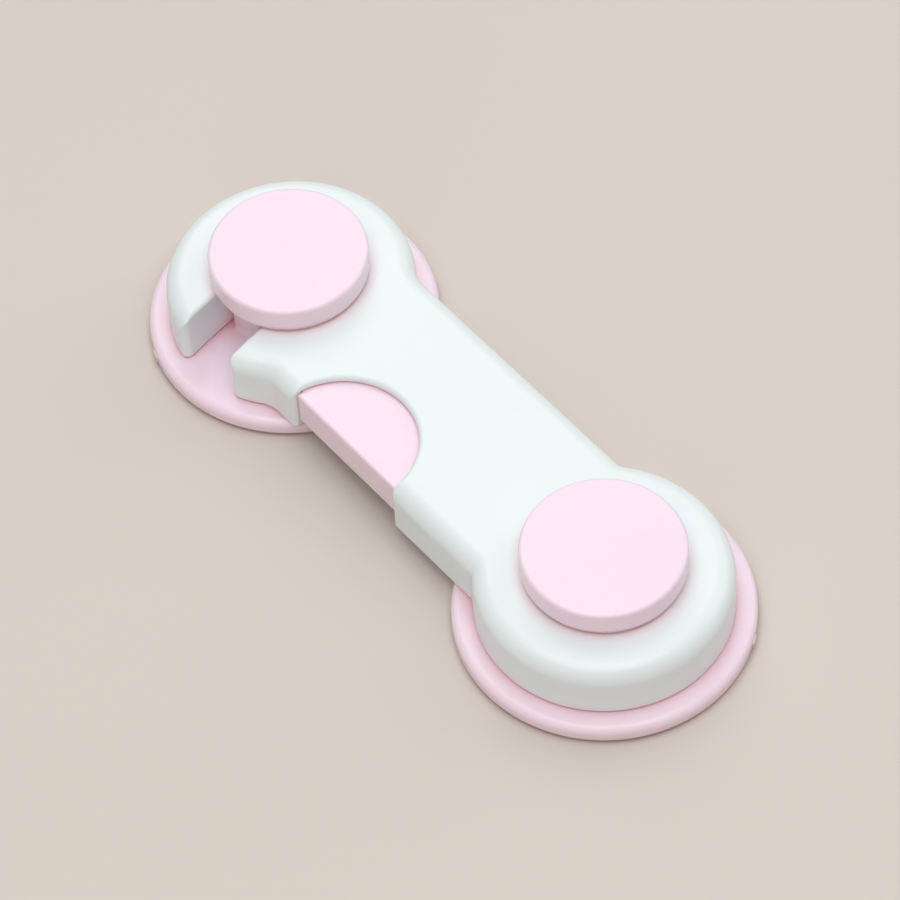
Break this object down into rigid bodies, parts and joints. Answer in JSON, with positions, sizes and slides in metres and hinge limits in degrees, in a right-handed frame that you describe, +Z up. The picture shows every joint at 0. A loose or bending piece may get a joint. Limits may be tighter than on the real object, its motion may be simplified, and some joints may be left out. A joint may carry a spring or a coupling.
{
  "type": "cabinet safety lock",
  "caption": "Stick-on cabinet safety lock: two round adhesive anchors joined by a swinging arm whose thumb button draws a sprung bolt out of the catch.",
  "frame": {"origin": "on the mounting face, midway between the catch lug and the pivot post", "axes": "+X from the catch to the pivot, +Z up from the mounting face, the button and the slot mouth on the -Y side"},
  "size_m": [0.1102, 0.042, 0.0161],
  "materials": {
    "pink_abs": "glossy moulded ABS, pale pink",
    "white_abs": "satin-gloss moulded ABS, cool white",
    "foam_tape": "soft acrylic foam tape",
    "liner_film": "thin coated release liner",
    "zinc_steel": "zinc plated",
    "spring_steel": "drawn spring wire"
  },
  "bodies": {
    "anchors": {"pivot_base": "pink_abs", "pivot_cap": "pink_abs", "pivot_cap_screw": "zinc_steel", "pivot_adhesive_pad": "foam_tape", "pivot_release_liner": "liner_film", "catch_base": "pink_abs", "catch_cap": "pink_abs", "catch_cap_screw": "zinc_steel", "catch_adhesive_pad": "foam_tape", "catch_release_liner": "liner_film"},
    "arm": {"arm_shell": "white_abs", "arm_bottom_cover": "white_abs", "cover_screws": "zinc_steel", "bolt_spring": "spring_steel"},
    "button": {"release_button": "pink_abs"},
    "bolt": {"latch_bolt": "pink_abs"}
  },
  "joints": [
    {"name": "arm_swing", "type": "hinge", "parent": "anchors", "child": "arm", "pos_m": [0.0341, 0, 0], "axis": [0, 0, -1], "range_deg": [0, 180]},
    {"name": "button_press", "type": "slide", "parent": "arm", "child": "button", "axis": [0, 1, 0], "range_m": [0, 0.006], "stiffness_N_per_m": 150, "springref_m": -0.004},
    {"name": "bolt_draw", "type": "slide", "parent": "arm", "child": "bolt", "axis": [1, 0, 0], "range_m": [0, 0.003], "deforming": ["bolt_spring"]}
  ],
  "couplings": [
    {"joint": "bolt_draw", "follows": "button_press", "ratio": 0.5}
  ]
}
